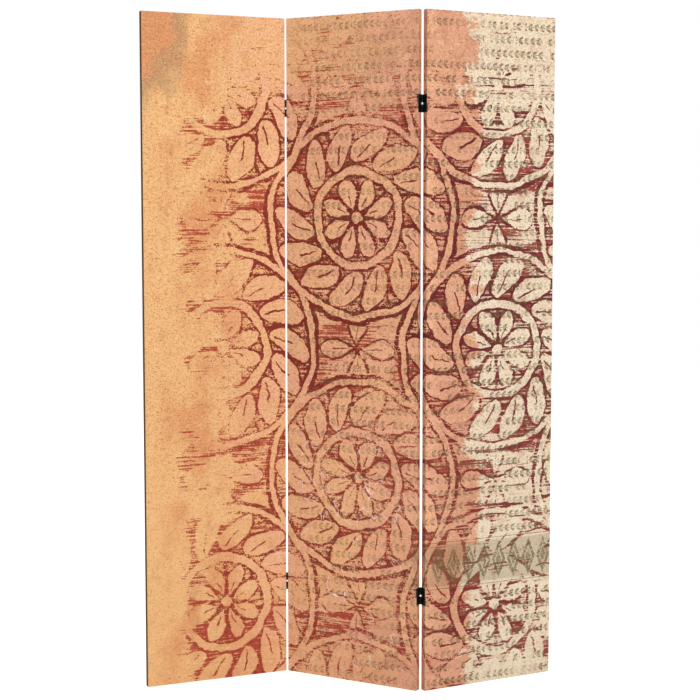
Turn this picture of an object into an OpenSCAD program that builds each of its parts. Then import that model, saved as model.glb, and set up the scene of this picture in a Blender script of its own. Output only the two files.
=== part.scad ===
/* [Pose] */
// Angle by which the left panel is folded forward, out of line with the middle one
left_fold_angle = 52.5; // [0:0.5:180]
// Angle by which the right panel is folded back, out of line with the middle one
right_fold_angle = 56.5; // [0:0.5:180]
// Angle by which the middle panel is turned away from the screen's width
middle_turn_angle = 29; // [0:0.5:60]

/* [Panel] */
// Width of one panel
panel_w = 400; // [300:5:600]
// Height of one panel
panel_h = 1800; // [1500:5:2200]
// Thickness of one panel over both canvases
panel_t = 20; // [16:0.5:36]
// Radius of a panel's upright edges, where the canvas folds round the frame
corner_r = 1.5; // [1:0.1:3]

/* [Canvas] */
// Thickness of the canvas
canvas_t = 0.5; // [0.3:0.05:0.8]
// How far the back canvas stops short of the panel's edges
back_inset = 2; // [1.5:0.5:6]
// Width of the hem folded under the back canvas
hem_w = 8; // [5:0.5:12]
// How far the front canvas runs on past its staples, on the back
turn_past = 4; // [2:0.5:8]

/* [Frame] */
// Width of a stile, across the panel
stile_w = 38; // [32:1:60]
// Height of the top and bottom rails
end_rail_h = 38; // [32:1:60]
// Height of a cross rail
cross_rail_h = 38; // [32:1:60]
// Height of the lower cross rail's middle over the base
lower_rail_rise = 590; // [400:5:680]
// Depth of the upper cross rail's middle under the top
upper_rail_drop = 590; // [400:5:680]
// Diameter of a dowel
dowel_d = 8; // [6:0.5:9]
// Length of a dowel
dowel_l = 40; // [30:1:50]
// Distance between the two dowels of a rail's end
dowel_pitch = 18; // [14:1:20]
// Length of a dowel's chamfer
dowel_chamfer = 0.8; // [0.4:0.1:1.5]
// Gap around a dowel, and at each of its ends
dowel_clear = 0.05; // [0.02:0.01:0.2]

/* [Staples] */
// Length of a staple's crown
staple_crown = 10; // [8:0.5:13]
// Length of a staple's leg under its crown, short enough to stay behind the hinge screws
staple_leg = 6; // [4:0.5:7]
// Width of the staple wire
staple_wire_w = 1; // [0.6:0.1:1.4]
// Thickness of the staple wire
staple_wire_t = 0.4; // [0.2:0.05:0.5]
// Distance between staples
staple_pitch = 100; // [60:5:160]
// Distance from a panel's corner to its nearest staples
staple_end = 70; // [70:2:90]
// Gap between the staples and the hem
staple_clear = 1; // [0.5:0.25:3]

/* [Hinges] */
// Height of a hinge
hinge_h = 46.5; // [44:0.5:60]
// Depth of a top hinge's middle under the top
top_hinge_drop = 241; // [150:1:320]
// Height of a bottom hinge's middle over the base
bottom_hinge_rise = 255; // [150:1:320]
// Height of the open space between a hinge's upper and lower barrels
barrel_space = 5; // [3:0.5:9]
// Thickness of the sheet that leaves and links are made of
sheet_t = 0.8; // [0.6:0.1:1.2]
// Diameter of a hinge pin
pin_d = 2.3; // [2:0.1:3]
// Length of a hinge pin's chamfer
pin_chamfer = 0.3; // [0.1:0.1:0.5]
// Distance from a pin's axis to the face of the panel
pin_out = 1.6; // [1.4:0.1:3]
// Length of a leaf's knuckle, between the two knuckles of a link
knuckle_l = 10; // [7:0.5:13]
// Gap between a knuckle and the next one on its pin
knuckle_clear = 0.15; // [0.1:0.05:0.4]
// Running clearance around a pin
pin_clear = 0.05; // [0.02:0.01:0.1]
// Gap between a barrel and the edges that swing past it
barrel_clear = 0.4; // [0.3:0.1:0.8]
// Gap between a link and the leaf on each side of it
link_clear = 0.4; // [0.3:0.1:0.8]
// Radius of a leaf's corners
leaf_r = 1.5; // [0.5:0.1:3]

/* [Screws] */
// Diameter of a hinge screw's shank
screw_d = 2.8; // [2:0.1:3.5]
// Diameter of a hinge screw's head
screw_head_d = 5.4; // [4.5:0.1:7]
// Height of a hinge screw's countersunk head
screw_head_h = 1.4; // [1:0.1:2]
// Length of a hinge screw
screw_l = 16; // [12:0.5:19]
// Length of a hinge screw's point
screw_tip = 3; // [2:0.5:5]
// Distance between a leaf's screws
screw_pitch = 16; // [12:0.5:18]
// Gap around a hinge screw
screw_clear = 0.05; // [0.02:0.01:0.1]

/* [Hidden] */
$fn = 48;
eps = 0.1;

PANELS = ["left", "middle", "right"];
PANEL_PARTS = [
    "left_stile", "right_stile", "top_rail", "upper_cross_rail", "lower_cross_rail", "bottom_rail",
    "dowels", "front_canvas", "staples", "back_canvas"
];
HINGE_ROWS = ["top", "bottom"];
HINGE_SIDES = ["left", "right"];
HINGE_PARTS = ["middle_leaf", "side_leaf", "upper_link", "lower_link"];

WOOD = [0.82, 0.68, 0.48];
DOWEL_WOOD = [0.75, 0.58, 0.38];
BACK_PRINT = [0.84, 0.62, 0.45];
BLACK_METAL = [0.07, 0.07, 0.07];
STEEL = [0.62, 0.63, 0.65];

// Panel stack, from the front: canvas, frame, turned canvas, hem, back canvas
frame_t = panel_t - 4 * canvas_t;
wrap_t = panel_t - 2 * canvas_t;
frame_w = panel_w - 2 * canvas_t;
frame_h = panel_h - 2 * canvas_t;
rail_l = frame_w - 2 * stile_w;
staple_in = back_inset + hem_w + staple_clear + staple_wire_w / 2;
turn_w = staple_in + staple_wire_w / 2 + turn_past;
rail_z = [
    canvas_t + end_rail_h / 2,
    lower_rail_rise,
    panel_h - upper_rail_drop,
    panel_h - canvas_t - end_rail_h / 2
];

// Hinge sizes that follow from the sheet, the pin and the clearances
knuckle_r = pin_d / 2 + pin_clear + sheet_t;
panel_gap = 3 * sheet_t + 2 * link_clear;
pin_span = panel_t + 2 * pin_out;
barrel_h = (hinge_h - barrel_space) / 2;
barrel_z = (hinge_h - barrel_h) / 2;
link_knuckle_l = (barrel_h - knuckle_l) / 2 - knuckle_clear;
leaf_in = panel_gap / 2;
leaf_start = sqrt(pow(knuckle_r + barrel_clear, 2) - pow(leaf_in - sheet_t, 2));
bend_start = knuckle_r / 2;
hinge_z = [panel_h - top_hinge_drop, bottom_hinge_rise];

// The pins that each side panel is folded about, in the middle panel's own plan
left_axis = [-panel_gap / 2, -pin_out];
right_axis = [panel_w + panel_gap / 2, panel_t + pin_out];

// Plan of the standing screen, as circles that touch its outline, to find its middle
function turned(p, a) = [p.x * cos(a) - p.y * sin(a), p.x * sin(a) + p.y * cos(a)];
function turned_about(p, axis, a) = axis + turned(p - axis, a);
function on_left(p) = turned_about(p - [panel_w + panel_gap, 0], left_axis, left_fold_angle);
function on_right(p) = turned_about(p + [panel_w + panel_gap, 0], right_axis, right_fold_angle);
function placed(p, panel) = turned(
    panel == "left" ? on_left(p) : panel == "right" ? on_right(p) : p,
    -middle_turn_angle
);
panel_marks = concat(
    [for (x = [corner_r, panel_w - corner_r], y = [corner_r, wrap_t - corner_r]) [[x, y], corner_r]],
    [for (x = [back_inset, panel_w - back_inset]) [[x, panel_t], 0]]
);
left_barrels = [for (y = [-pin_out, panel_t + pin_out]) [[-panel_gap / 2, y], knuckle_r]];
right_barrels = [for (y = [-pin_out, panel_t + pin_out]) [[panel_w + panel_gap / 2, y], knuckle_r]];
function marks(panel) = concat(
    panel_marks,
    panel == "left" ? [] : left_barrels,
    panel == "right" ? [] : right_barrels
);
outline = [for (panel = PANELS) for (m = marks(panel)) [placed(m[0], panel), m[1]]];
centre = [for (i = [0, 1])
    (min([for (o = outline) o[0][i] - o[1]]) + max([for (o = outline) o[0][i] + o[1]])) / 2];

// Places

module at_middle() {
    translate([-centre.x, -centre.y, 0]) rotate(-middle_turn_angle) children();
}

module turn_at(axis, a) {
    translate([axis.x, axis.y, 0]) rotate(a) translate([-axis.x, -axis.y, 0]) children();
}

module at_panel(panel) {
    at_middle() {
        if (panel == "left")
            turn_at(left_axis, left_fold_angle) translate([-panel_w - panel_gap, 0, 0]) children();
        if (panel == "middle")
            children();
        if (panel == "right")
            turn_at(right_axis, right_fold_angle) translate([panel_w + panel_gap, 0, 0]) children();
    }
}

// Carries what is drawn for a panel's left edge to its right edge
module mirrored(wanted = true) {
    if (wanted)
        translate([panel_w, 0, 0]) mirror([1, 0, 0]) children();
    else
        children();
}

// Front pin axis of the hinges on a panel's edge, with +Y to the back and z = 0 at the middle
module at_hinge(edge, z) {
    translate([edge == "left" ? -panel_gap / 2 : panel_w + panel_gap / 2, -pin_out, z]) children();
}

function is_hinged(panel, edge) = panel == "middle" || panel != edge;
function opposite(side) = side == "left" ? "right" : "left";

// Shapes that repeat

module rounded_rect(w, d, r) {
    translate([r, 0]) square([w - 2 * r, d]);
    translate([0, r]) square([w, d - 2 * r]);
    for (x = [r, w - r], y = [r, d - r])
        translate([x, y]) circle(r);
}

module frame_outline() {
    translate([canvas_t, canvas_t]) rounded_rect(frame_w, frame_t, corner_r - canvas_t);
}

// A dowel, or the hole for one, along +Z from its middle
module dowel(clear = 0) {
    r = dowel_d / 2 + clear;
    h = dowel_l / 2 + clear;
    rotate_extrude()
        polygon([
            [0, -h], [r - dowel_chamfer, -h], [r, -h + dowel_chamfer],
            [r, h - dowel_chamfer], [r - dowel_chamfer, h], [0, h]
        ]);
}

// The dowels of a panel's left joints, centred on the joint between stile and rails
module joint_dowels(clear = 0) {
    for (z = rail_z, side = [-1, 1])
        translate([canvas_t + stile_w, canvas_t + frame_t / 2, z + side * dowel_pitch / 2])
            rotate([0, 90, 0]) dowel(clear);
}

// A countersunk screw, or the hole for one, from the outside of its head along +Z
module screw(clear = 0) {
    r = screw_d / 2 + clear;
    head_r = screw_head_d / 2 + clear;
    top = clear > 0 ? -eps : 0;
    rotate_extrude()
        polygon([
            [0, top], [head_r, top], [head_r, 0], [r, screw_head_h],
            [r, screw_l - screw_tip], [0, screw_l + clear]
        ]);
}

// The screws of both hinges on a panel's left edge
module edge_screws(clear = 0) {
    for (z = hinge_z, step = [-1, 0, 1])
        translate([-sheet_t, panel_t / 2, z + step * screw_pitch]) rotate([0, 90, 0]) screw(clear);
}

module hinge_pin(l) {
    r = pin_d / 2;
    rotate_extrude()
        polygon([
            [0, -l / 2], [r - pin_chamfer, -l / 2], [r, -l / 2 + pin_chamfer],
            [r, l / 2 - pin_chamfer], [r - pin_chamfer, l / 2], [0, l / 2]
        ]);
}

module bore(l) {
    cylinder(h = l, r = pin_d / 2 + pin_clear, center = true);
}

// A staple with its crown along +X, on top of the turned canvas at y = 0
module staple() {
    translate([-staple_crown / 2, 0, -staple_wire_w / 2])
        cube([staple_crown, staple_wire_t, staple_wire_w]);
    for (x = [-staple_crown / 2, staple_crown / 2 - staple_wire_t])
        translate([x, -staple_leg, -staple_wire_w / 2])
            cube([staple_wire_t, staple_leg + staple_wire_t, staple_wire_w]);
}

function spaced(length) = let (
    run = length - 2 * staple_end,
    count = round(run / staple_pitch)
) [for (i = [0 : count]) staple_end + run * i / count];

// Frame

module stile_outline() {
    intersection() {
        frame_outline();
        square([canvas_t + stile_w, panel_t]);
    }
}

module stile(hinged) {
    color(WOOD)
        difference() {
            translate([0, 0, canvas_t]) linear_extrude(frame_h) stile_outline();
            joint_dowels(dowel_clear);
            if (hinged)
                edge_screws(screw_clear);
        }
}

module rail(z, h) {
    color(WOOD)
        difference() {
            translate([canvas_t + stile_w, canvas_t, z - h / 2]) cube([rail_l, frame_t, h]);
            joint_dowels(dowel_clear);
            mirrored() joint_dowels(dowel_clear);
        }
}

module dowels() {
    color(DOWEL_WOOD) {
        joint_dowels();
        mirrored() joint_dowels();
    }
}

// Canvas

// Covers the front, folds round all four edges and is turned onto the back of the frame
module front_canvas(panel, colour) {
    color(colour)
        difference() {
            linear_extrude(panel_h) rounded_rect(panel_w, wrap_t, corner_r);
            translate([0, 0, canvas_t]) linear_extrude(frame_h) frame_outline();
            translate([turn_w, panel_t / 2, turn_w])
                cube([panel_w - 2 * turn_w, panel_t, panel_h - 2 * turn_w]);
            for (edge = HINGE_SIDES)
                if (is_hinged(panel, edge))
                    mirrored(edge == "right") edge_screws(screw_clear);
        }
}

module staples() {
    color(STEEL)
        translate([0, wrap_t, 0]) {
            for (z = spaced(panel_h), x = [staple_in, panel_w - staple_in])
                translate([x, 0, z]) rotate([0, 90, 0]) staple();
            for (x = spaced(panel_w), z = [staple_in, panel_h - staple_in])
                translate([x, 0, z]) staple();
        }
}

// Lies over the whole back, with its hem folded under all round
module back_canvas() {
    inner = back_inset + hem_w;
    color(BACK_PRINT)
        difference() {
            translate([back_inset, wrap_t, back_inset])
                cube([panel_w - 2 * back_inset, 2 * canvas_t, panel_h - 2 * back_inset]);
            translate([inner, wrap_t - eps, inner])
                cube([panel_w - 2 * inner, canvas_t + eps, panel_h - 2 * inner]);
        }
}

// Hinge

// One rolled knuckle and the bend that joins it to the flat of its leaf
module leaf_knuckle() {
    difference() {
        linear_extrude(knuckle_l, center = true) {
            circle(knuckle_r);
            polygon([
                [knuckle_r - sheet_t, 0], [knuckle_r, 0], [knuckle_r, bend_start],
                [leaf_in, leaf_start], [leaf_in, leaf_start + leaf_r + eps],
                [leaf_in - sheet_t, leaf_start + leaf_r + eps], [leaf_in - sheet_t, leaf_start],
                [knuckle_r - sheet_t, bend_start]
            ]);
        }
        bore(knuckle_l + 2 * eps);
    }
}

// The leaf of the right-hand panel: its upper knuckle is at the back and its lower one in front
module right_leaf() {
    flat_w = pin_span - 2 * leaf_start;
    color(BLACK_METAL)
        difference() {
            union() {
                translate([leaf_in - sheet_t, leaf_start, -hinge_h / 2])
                    rotate([90, 0, 90]) linear_extrude(sheet_t) rounded_rect(flat_w, hinge_h, leaf_r);
                translate([0, 0, -barrel_z]) leaf_knuckle();
                translate([0, pin_span, barrel_z]) mirror([0, 1, 0]) leaf_knuckle();
            }
            for (step = [-1, 0, 1])
                translate([leaf_in - sheet_t, pin_span / 2, step * screw_pitch])
                    rotate([0, 90, 0]) screw(screw_clear);
        }
}

// The same leaf turned round: its upper knuckle is in front and its lower one at the back
module left_leaf() {
    translate([0, pin_span, 0]) rotate(180) right_leaf();
}

// A strap that crosses the gap from a front pin to a back pin, with two knuckles on each
module link() {
    notch = knuckle_r + barrel_clear;
    knuckle_z = (barrel_h - link_knuckle_l) / 2;
    color(BLACK_METAL)
        difference() {
            union() {
                translate([-sheet_t / 2, notch, -barrel_h / 2])
                    cube([sheet_t, pin_span - 2 * notch, barrel_h]);
                for (side = [-1, 1])
                    translate([0, 0, side * knuckle_z]) {
                        translate([-sheet_t / 2, 0, -link_knuckle_l / 2])
                            cube([sheet_t, pin_span, link_knuckle_l]);
                        for (y = [0, pin_span])
                            translate([0, y, 0])
                                cylinder(h = link_knuckle_l, r = knuckle_r, center = true);
                    }
            }
            for (y = [0, pin_span])
                translate([0, y, 0]) bore(barrel_h + 2 * eps);
        }
}

// Pins of a right-hand leaf: a full one at the back above, and one in front below
module right_leaf_pins(lower_l) {
    color(STEEL) {
        translate([0, pin_span, barrel_z]) hinge_pin(barrel_h);
        translate([0, 0, -barrel_z]) hinge_pin(lower_l);
    }
}

module left_leaf_pins(lower_l) {
    translate([0, pin_span, 0]) rotate(180) right_leaf_pins(lower_l);
}

// What the middle panel carries of the hinges on one of its edges. Its lower pin stops
// inside its own knuckle: there the crossed links are open, so that the screen can
// also fold the other way.
module middle_leaf(side, z) {
    at_panel("middle") at_hinge(side, z)
        if (side == "left")
            right_leaf();
        else
            left_leaf();
}

module middle_pins(side) {
    at_panel("middle")
        for (z = hinge_z)
            at_hinge(side, z)
                if (side == "left")
                    right_leaf_pins(knuckle_l);
                else
                    left_leaf_pins(knuckle_l);
}

module middle_screws(side) {
    color(BLACK_METAL) at_panel("middle") mirrored(side == "right") edge_screws();
}

module upper_link(side, z) {
    at_panel("middle") at_hinge(side, z) translate([0, 0, barrel_z]) link();
}

// What a side panel carries
module side_leaf(side, z) {
    at_panel(side) at_hinge(opposite(side), z)
        if (side == "left")
            left_leaf();
        else
            right_leaf();
}

module side_pins(side) {
    at_panel(side)
        for (z = hinge_z)
            at_hinge(opposite(side), z)
                if (side == "left")
                    left_leaf_pins(barrel_h);
                else
                    right_leaf_pins(barrel_h);
}

module side_screws(side) {
    color(BLACK_METAL) at_panel(side) mirrored(side == "left") edge_screws();
}

module lower_link(side, z) {
    at_panel(side) at_hinge(opposite(side), z) translate([0, 0, -barrel_z]) link();
}

// Panels

FRONT_PRINTS = [[0.88, 0.68, 0.46], [0.78, 0.54, 0.42], [0.85, 0.74, 0.57]];

for (i = [0 : len(PANELS) - 1]) {
    panel = PANELS[i];
    name = str(panel, "_panel_");
    at_panel(panel) stile(is_hinged(panel, "left"));
    at_panel(panel) mirrored() stile(is_hinged(panel, "right"));
    at_panel(panel) rail(rail_z[3], end_rail_h);
    at_panel(panel) rail(rail_z[2], cross_rail_h);
    at_panel(panel) rail(rail_z[1], cross_rail_h);
    at_panel(panel) rail(rail_z[0], end_rail_h);
    at_panel(panel) dowels();
    at_panel(panel) front_canvas(panel, FRONT_PRINTS[i]);
    at_panel(panel) staples();
    at_panel(panel) back_canvas();
}

// Hinges
for (i = [0, 1], side = HINGE_SIDES) {
    name = str(HINGE_ROWS[i], "_", side, "_hinge_");
    middle_leaf(side, hinge_z[i]);
    side_leaf(side, hinge_z[i]);
    upper_link(side, hinge_z[i]);
    lower_link(side, hinge_z[i]);
}
for (side = HINGE_SIDES) {
    middle_pins(side);
    side_pins(side);
    middle_screws(side);
    side_screws(side);
}
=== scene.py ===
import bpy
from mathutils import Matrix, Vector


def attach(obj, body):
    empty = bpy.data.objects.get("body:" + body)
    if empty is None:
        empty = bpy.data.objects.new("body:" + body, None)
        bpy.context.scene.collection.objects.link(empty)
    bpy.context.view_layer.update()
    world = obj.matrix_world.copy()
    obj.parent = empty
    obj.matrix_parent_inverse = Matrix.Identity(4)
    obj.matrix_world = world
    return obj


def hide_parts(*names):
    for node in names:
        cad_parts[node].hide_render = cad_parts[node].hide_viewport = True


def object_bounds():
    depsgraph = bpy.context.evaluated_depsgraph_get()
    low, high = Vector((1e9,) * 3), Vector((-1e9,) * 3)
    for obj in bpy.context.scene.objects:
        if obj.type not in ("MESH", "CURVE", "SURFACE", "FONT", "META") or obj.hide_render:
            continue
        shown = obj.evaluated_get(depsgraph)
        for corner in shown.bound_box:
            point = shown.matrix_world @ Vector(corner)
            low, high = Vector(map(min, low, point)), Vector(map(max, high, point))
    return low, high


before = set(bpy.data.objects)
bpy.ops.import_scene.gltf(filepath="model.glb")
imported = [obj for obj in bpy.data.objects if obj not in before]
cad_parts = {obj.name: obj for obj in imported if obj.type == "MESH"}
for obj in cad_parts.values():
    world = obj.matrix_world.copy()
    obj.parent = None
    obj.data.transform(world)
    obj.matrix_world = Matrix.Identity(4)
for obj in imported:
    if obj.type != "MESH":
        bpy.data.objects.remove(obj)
cad_box = [list(corner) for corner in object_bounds()]
print("CAD nodes:", len(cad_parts), "box in metres:", cad_box)

# %% [markdown]
# ## The camera
# The camera comes first, because everything is judged from it. The photograph was taken with a fairly
# long lens from about four metres away and a little above the screen's middle, looking slightly down, so
# the panels' upright edges draw together only a little towards the floor. The place, tilt and lens below
# are the ones at which the twelve corners of the panels fall where the photograph has them.
# %% Camera
import math

import bpy
from mathutils import Vector

IMAGE_PIXELS = 700
SENSOR_MM = 36
LENS_MM = 80.13
CAMERA_PLACE = (-0.0015, -4.188, 1.2471)
CAMERA_TILT = math.radians(85.358)


def add_object(name, data):
    """A new object in the scene."""
    made = bpy.data.objects.new(name, data)
    bpy.context.scene.collection.objects.link(made)
    return made


camera = add_object("camera", bpy.data.cameras.new("camera"))
camera.data.sensor_width = SENSOR_MM
camera.data.lens = LENS_MM
camera.location = CAMERA_PLACE
camera.rotation_euler = (CAMERA_TILT, 0, 0)
bpy.context.scene.camera = camera
bpy.context.view_layer.update()


def pixel_of(point):
    """Where a point of the frame falls in the picture, in pixels from its top left corner."""
    x, y, z = camera.matrix_world.inverted() @ Vector(point)
    scale = LENS_MM / SENSOR_MM * IMAGE_PIXELS / -z
    return round(IMAGE_PIXELS / 2 + x * scale, 1), round(IMAGE_PIXELS / 2 - y * scale, 1)


print("the middle of the floor falls at pixel", pixel_of((0, 0, 0)))

# %% [markdown]
# ## Arithmetic for shaders
# A print has many layers of masks, and wiring hundreds of nodes by hand hides what they mean. Instead a
# small class wraps one output socket, so that `1 - mask` or `across * 3 + up` adds the Math nodes that
# it needs and reads like ordinary Python. Every other kind of node comes from one method.
# %% Values and finishes
class Value:
    """One output socket of a node tree. Arithmetic on it adds Math nodes."""

    def __init__(self, wiring, socket):
        self.wiring = wiring
        self.socket = socket

    def output(self, name):
        """Another output of the node that this value comes from."""
        return Value(self.wiring, self.socket.node.outputs[name])

    def math(self, operation, *others):
        return self.wiring.math(operation, self, *others)

    def __add__(self, other):
        return self.math("ADD", other)

    def __sub__(self, other):
        return self.math("SUBTRACT", other)

    def __rsub__(self, other):
        return self.wiring.math("SUBTRACT", other, self)

    def __mul__(self, other):
        return self.math("MULTIPLY", other)

    def __truediv__(self, other):
        return self.math("DIVIDE", other)

    def __pow__(self, other):
        return self.math("POWER", other)

    def __abs__(self):
        return self.math("ABSOLUTE")

    __radd__ = __add__
    __rmul__ = __mul__


class Wiring:
    """A node tree being wired up."""

    def __init__(self, tree):
        self.tree = tree

    def feed(self, socket, value):
        """Links a value to a socket, or sets the socket to a constant."""
        if isinstance(value, Value):
            self.tree.links.new(value.socket, socket)
        else:
            socket.default_value = value

    def node(self, kind, settings, inputs, output=0):
        """Adds a node, sets it up, feeds its sockets, and returns one of its outputs."""
        made = self.tree.nodes.new(kind)
        for name, setting in settings.items():
            setattr(made, name, setting)
        for socket, value in inputs.items():
            self.feed(made.inputs[socket], value)
        return Value(self, made.outputs[output])

    def math(self, operation, *values):
        return self.node("ShaderNodeMath", {"operation": operation}, dict(enumerate(values)))


class Finish(Wiring):
    """A material being made: a Principled shader and the nodes that feed it."""

    def __init__(self, name, **constants):
        self.material = bpy.data.materials.new(name)
        self.material.use_nodes = True
        super().__init__(self.material.node_tree)
        self.shader = next(n for n in self.tree.nodes if n.type == "BSDF_PRINCIPLED")
        self.surface(**constants)

    def surface(self, **values):
        """Feeds the shader's own sockets, such as Base_Color."""
        for socket, value in values.items():
            self.feed(self.shader.inputs[socket.replace("_", " ")], value)
        return self.material


def rgb(red, green, blue):
    """A colour as a picture shows it, 0 to 255, as the linear values that a shader takes."""
    def linear(level):
        share = level / 255
        return share / 12.92 if share <= 0.04045 else ((share + 0.055) / 1.055) ** 2.4
    return linear(red), linear(green), linear(blue), 1


def smooth(value, low, high):
    """0 below low, 1 above high, and a soft step between them."""
    inputs = {"Value": value, "From Min": low, "From Max": high}
    return value.wiring.node("ShaderNodeMapRange", {"interpolation_type": "SMOOTHSTEP"}, inputs)


def paint(mask, under, over):
    """The colour `under`, with `over` laid on it where the mask is 1."""
    colour_sockets = {0: mask, 6: under, 7: over}
    return mask.wiring.node("ShaderNodeMix", {"data_type": "RGBA"}, colour_sockets, 2)


def coats(colour, *layers):
    """The colour under several layers, from the lowest up, each a mask and what is laid on there."""
    for mask, over in layers:
        colour = paint(mask, colour, over)
    return colour


def noise(x, y, seed, detail=2.0, roughness=0.5):
    """Smooth random values from 0 to 1 about one unit apart, the same on every run."""
    place = x.wiring.node("ShaderNodeCombineXYZ", {}, {0: x, 1: y, 2: seed})
    inputs = {"Vector": place, "Scale": 1.0, "Detail": detail, "Roughness": roughness}
    return x.wiring.node("ShaderNodeTexNoise", {}, inputs)


def spread(value):
    """A noise's values, which crowd round 0.5, drawn out over the whole of 0 to 1."""
    return smooth(value, 0.3, 0.7)


def either(first, *others):
    """The strongest of several masks."""
    for other in others:
        first = first.math("MAXIMUM", other)
    return first


def bumped(height, distance, strength=1.0, under=None):
    """A normal tilted by a height that runs from 0 to 1, for a relief of the given distance."""
    inputs = {"Height": height, "Distance": distance, "Strength": strength}
    if under is not None:
        inputs["Normal"] = under
    return height.wiring.node("ShaderNodeBump", {}, inputs)


def parts(place):
    """The three parts of a place, such as its x, y and z."""
    x = place.wiring.node("ShaderNodeSeparateXYZ", {}, {0: place})
    return x, x.output("Y"), x.output("Z")


print("shader helpers: smooth, paint, noise, spread, bumped, parts")

# %% [markdown]
# ## Floor and light
# The photograph is a studio cut-out on pure white. The floor is a plain pale sheet that runs past the
# view, and the world behind it is white. Both add a little white of their own to camera rays only, so
# that they read as white while the soft shadow at the panels' feet stays and the object gets no extra
# light. The daylight comes from all round. One large soft lamp stands in front, a little to the right,
# so the outer panels, which face right, are a shade brighter than the middle one, which faces left. A
# weaker lamp behind keeps the back from going flat.
# %% Floor
import bmesh

FLOOR_HALF = 9.0
FLOOR_CELLS = 12
FLOOR_LIFT = 0.55

floor_mesh = bpy.data.meshes.new("floor")
floor_shape = bmesh.new()
bmesh.ops.create_grid(floor_shape, x_segments=FLOOR_CELLS, y_segments=FLOOR_CELLS, size=FLOOR_HALF)
floor_shape.to_mesh(floor_mesh)
floor_shape.free()
floor = add_object("floor", floor_mesh)


def seen_or_mirrored(wiring):
    """1 on rays from the camera and on their reflections, and 0 on the rays that light things."""
    seen = wiring.node("ShaderNodeLightPath", {}, {}, "Is Camera Ray")
    return seen.math("MAXIMUM", seen.output("Is Glossy Ray"))


floor_finish = Finish("pale_floor", Roughness=0.9, Specular_IOR_Level=0.2, Emission_Strength=1.0)
floor_lift = seen_or_mirrored(floor_finish) * FLOOR_LIFT
floor_glow = floor_finish.node("ShaderNodeCombineColor", {}, {0: floor_lift, 1: floor_lift, 2: floor_lift})
floor_mesh.materials.append(floor_finish.surface(Base_Color=rgb(243, 243, 243), Emission_Color=floor_glow))
print("floor", 2 * FLOOR_HALF, "m across")

# %% Daylight and lamps
DAYLIGHT = 0.60
LAMP_DISTANCE = 5.0
LAMP_SIZE = 2.4
LAMP_RISE = math.radians(28)
FRONT_LAMP = (math.radians(26), 0.43)
BACK_LAMP = (math.radians(172), 0.3)

world = bpy.data.worlds.new("studio")
bpy.context.scene.world = world
world.use_nodes = True
sky = Wiring(world.node_tree)
background = next(n for n in sky.tree.nodes if n.type == "BACKGROUND")
sky.feed(background.inputs["Color"], (1, 1, 1, 1))
sky.feed(background.inputs["Strength"], seen_or_mirrored(sky) * (1 - DAYLIGHT) + DAYLIGHT)


def soft_lamp(name, turn, share):
    """A round lamp aimed at the screen's middle, turned from the front towards the right."""
    lamp = add_object(name, bpy.data.lights.new(name, "AREA"))
    lamp.data.shape = "DISK"
    lamp.data.size = LAMP_SIZE
    lamp.data.energy = share * (math.pi * LAMP_DISTANCE) ** 2
    level = math.cos(LAMP_RISE)
    towards = Vector((math.sin(turn) * level, -math.cos(turn) * level, math.sin(LAMP_RISE)))
    lamp.location = Vector((0, 0, cad_box[1][2] / 2)) + LAMP_DISTANCE * towards
    lamp.rotation_euler = towards.to_track_quat("Z", "Y").to_euler()
    print(name, "of", round(lamp.data.energy), "W at", [round(x, 2) for x in lamp.location])


soft_lamp("front_lamp", *FRONT_LAMP)
soft_lamp("back_lamp", *BACK_LAMP)
bpy.context.scene.view_settings.view_transform = "Standard"

# %% [markdown]
# ## Where each panel stands
# A piece for a panel is easiest to make lying square, with x across it, y from front to back and z up,
# and then placed by one matrix. The angles could be copied from the drawing, but measuring them on the
# packed back canvas keeps the two from drifting apart: in plan, its longest direction is the panel's
# width. The same measurements give the depth of the wrapped edge and how far the back canvas is set in.
# %% Measure the panels
import numpy as np
from mathutils import Matrix


def points_of(node):
    """A CAD node's vertices, as rows of x, y and z."""
    return np.array([v.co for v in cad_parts[node].data.vertices])


class Panel:
    """A panel's sizes, and the matrix from its own square axes to the frame."""

    def __init__(self, side):
        self.side = side
        back, front = points_of(f"{side}_panel_back_canvas"), points_of(f"{side}_panel_front_canvas")
        plan = back[:, :2] - (back[:, :2].min(axis=0) + back[:, :2].max(axis=0)) / 2
        across = np.linalg.svd(plan, full_matrices=False)[2][0]
        self.across = across * np.sign(across[0])
        self.inward = np.array([-self.across[1], self.across[0]])
        left, right = self.span(front, self.across)
        face, self.wrap_back = self.span(front, self.inward)
        self.width, self.wrap = right - left, self.wrap_back - face
        self.height = front[:, 2].max()
        self.depth = self.span(back, self.inward)[1] - face
        self.inset = self.span(back, self.across)[0] - left
        corner = left * self.across + face * self.inward
        self.matrix = Matrix((
            (self.across[0], self.inward[0], 0, corner[0]),
            (self.across[1], self.inward[1], 0, corner[1]),
            (0, 0, 1, 0),
            (0, 0, 0, 1),
        ))

    def span(self, points, direction):
        along = points[:, :2] @ direction
        return along.min(), along.max()

    def own(self, node):
        """A CAD node's vertices on the panel's own axes."""
        inverse = np.array(self.matrix.inverted())
        return points_of(node) @ inverse[:3, :3].T + inverse[:3, 3]


panels = [Panel(side) for side in ("left", "middle", "right")]
for panel in panels:
    turn = math.degrees(math.atan2(panel.across[1], panel.across[0]))
    print(panel.side, "panel turned", round(turn, 2), "degrees, in mm:",
          [round(1000 * x, 2) for x in (panel.width, panel.height, panel.depth, panel.wrap, panel.inset)],
          "top left corner at", pixel_of(panel.matrix @ Vector((0, 0, panel.height))))

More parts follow.
